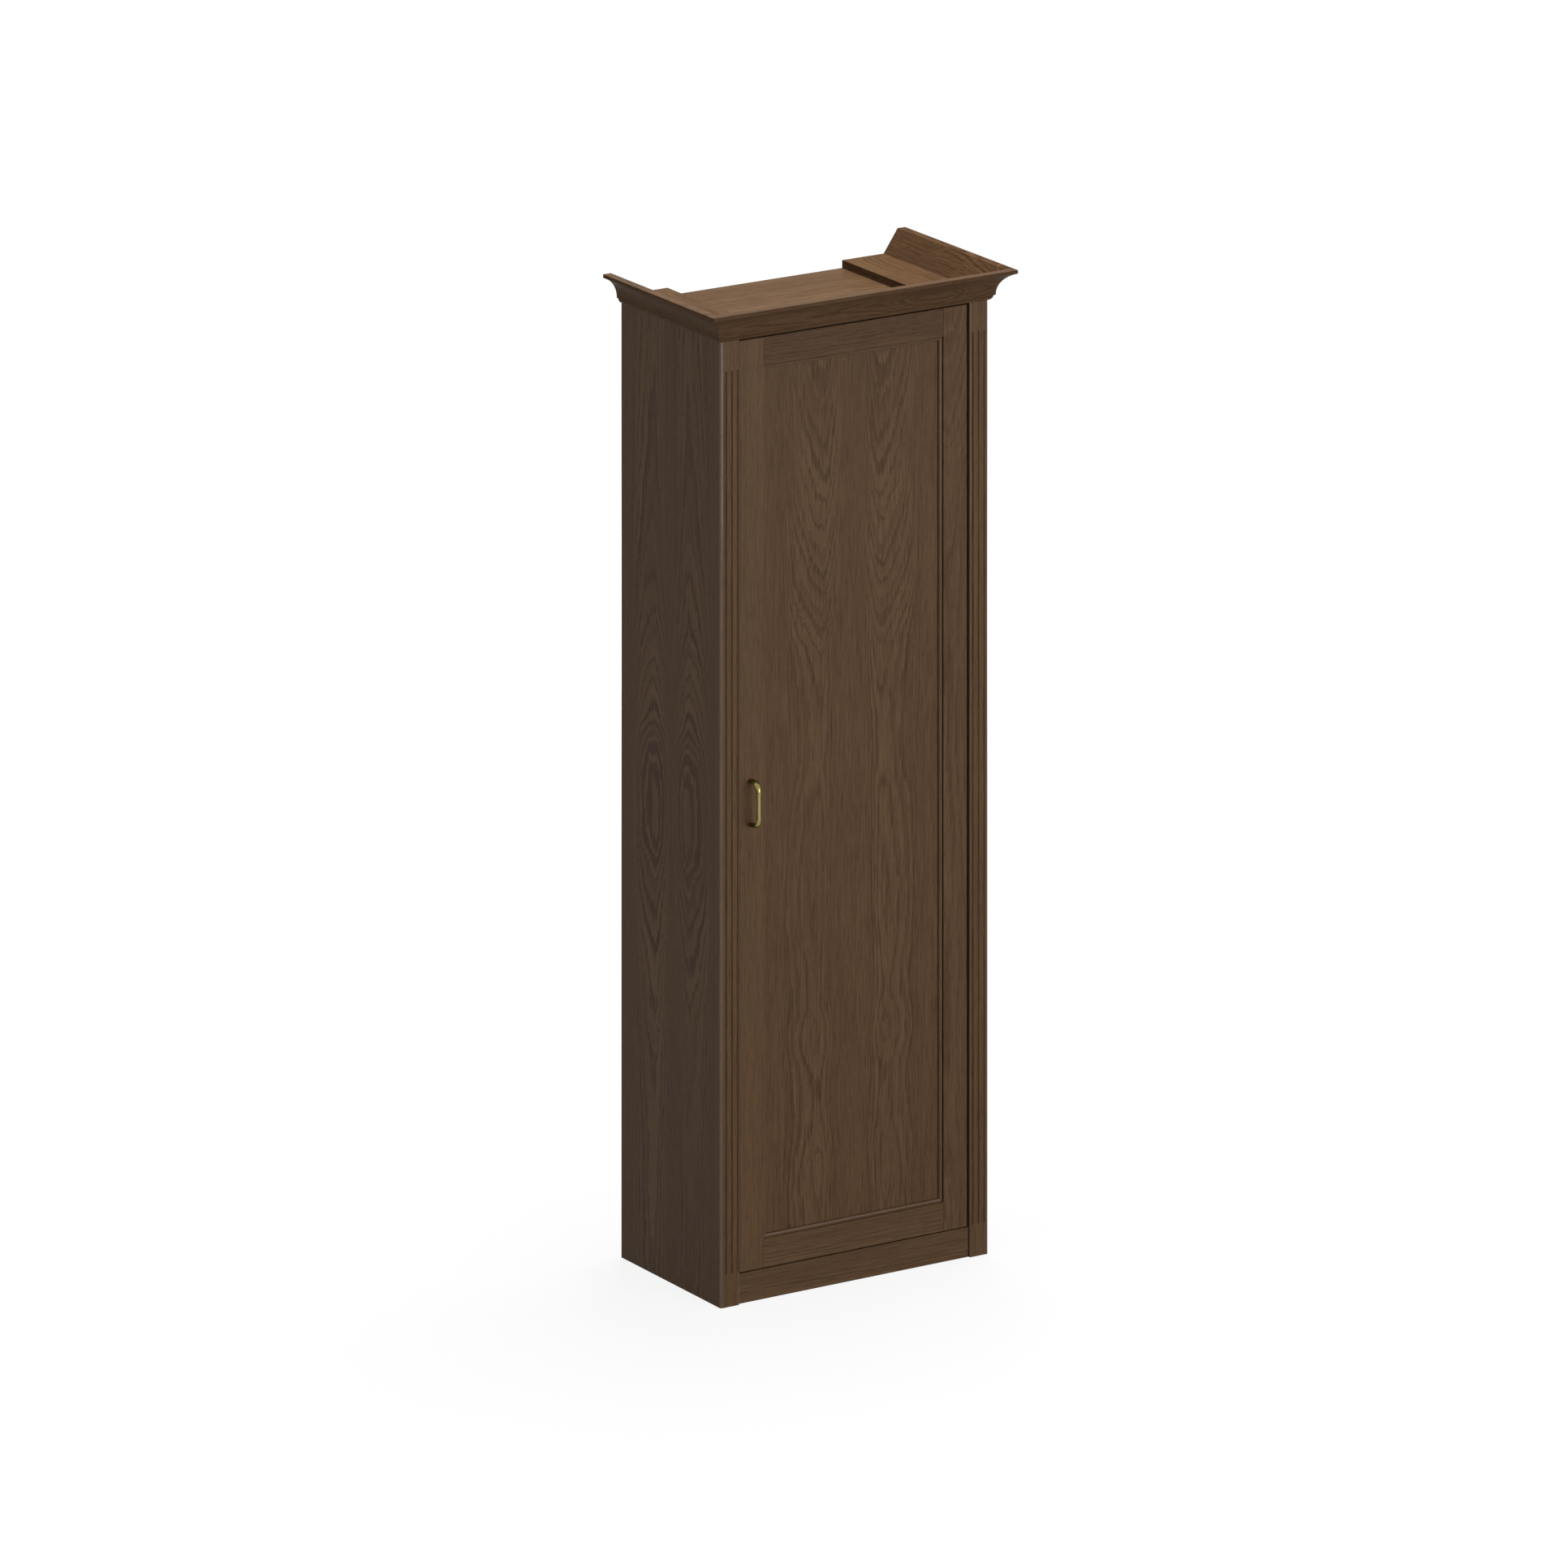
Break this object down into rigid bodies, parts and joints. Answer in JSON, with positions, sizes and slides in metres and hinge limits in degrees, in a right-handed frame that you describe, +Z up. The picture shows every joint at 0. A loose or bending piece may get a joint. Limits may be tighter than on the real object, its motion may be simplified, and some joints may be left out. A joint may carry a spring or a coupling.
{
  "type": "office cupboard",
  "caption": "Tall narrow office cupboard with one hinged panelled door, fluted pilasters, a crown cornice, a plinth and shelves for binders.",
  "frame": {"origin": "on the floor, under the middle of the whole outline with the cornice", "axes": "+Z up, +Y to the back, so the door faces -Y; +X to the right seen from the front"},
  "size_m": [0.8, 0.464, 2.196],
  "materials": {
    "oak": "brown-stained oak veneer, semi-matt lacquer",
    "back_board": "stained oak foil on hardboard, matt",
    "beech": "raw beech",
    "zinc": "bright zinc plate",
    "hinge_steel": "nickel-plated pressed steel",
    "magnet": "dark sintered magnet",
    "brown_plastic": "dark brown moulding",
    "bumper_rubber": "soft black rubber",
    "antique_brass": "antique brass, dark in the recesses"
  },
  "bodies": {
    "carcass": {"back_panel": "back_board", "batten_screws": "zinc", "bottom_panel": "oak", "cam_bolts": "zinc", "cam_locks": "zinc", "carcass_dowels": "beech", "catch_housings": "brown_plastic", "catch_magnets": "magnet", "catch_screws": "zinc", "cornice_batten_front": "oak", "cornice_batten_left": "oak", "cornice_batten_right": "oak", "cornice_front": "oak", "cornice_left": "oak", "cornice_right": "oak", "door_bumpers": "bumper_rubber", "door_stop": "oak", "door_stop_screws": "zinc", "fixed_shelf": "oak", "hinge_arm_screws": "zinc", "hinge_arms": "hinge_steel", "hinge_plate_screws": "zinc", "hinge_plates": "hinge_steel", "hinge_post": "oak", "left_pilaster": "oak", "left_post": "oak", "left_side_panel": "oak", "pilaster_dowels": "beech", "plinth_front": "oak", "plinth_rear": "oak", "right_pilaster": "oak", "right_side_panel": "oak", "shelf_1": "oak", "shelf_2": "oak", "shelf_4": "oak", "shelf_5": "oak", "shelf_pins": "zinc", "top_panel": "oak"},
    "door": {"catch_strikes": "hinge_steel", "door_bead_bottom": "oak", "door_bead_left": "oak", "door_bead_right": "oak", "door_bead_top": "oak", "door_panel": "oak", "door_rail_bottom": "oak", "door_rail_top": "oak", "door_stile_left": "oak", "door_stile_right": "oak", "handle": "antique_brass", "handle_screws": "zinc", "hinge_cup_screws": "zinc", "hinge_cups": "hinge_steel", "hinge_pins": "hinge_steel", "strike_screws": "zinc"}
  },
  "joints": [
    {"name": "door_hinge", "type": "hinge", "parent": "carcass", "child": "door", "pos_m": [0.273, -0.1635, 1.095], "axis": [0, 0, 1], "range_deg": [0, 100]}
  ]
}
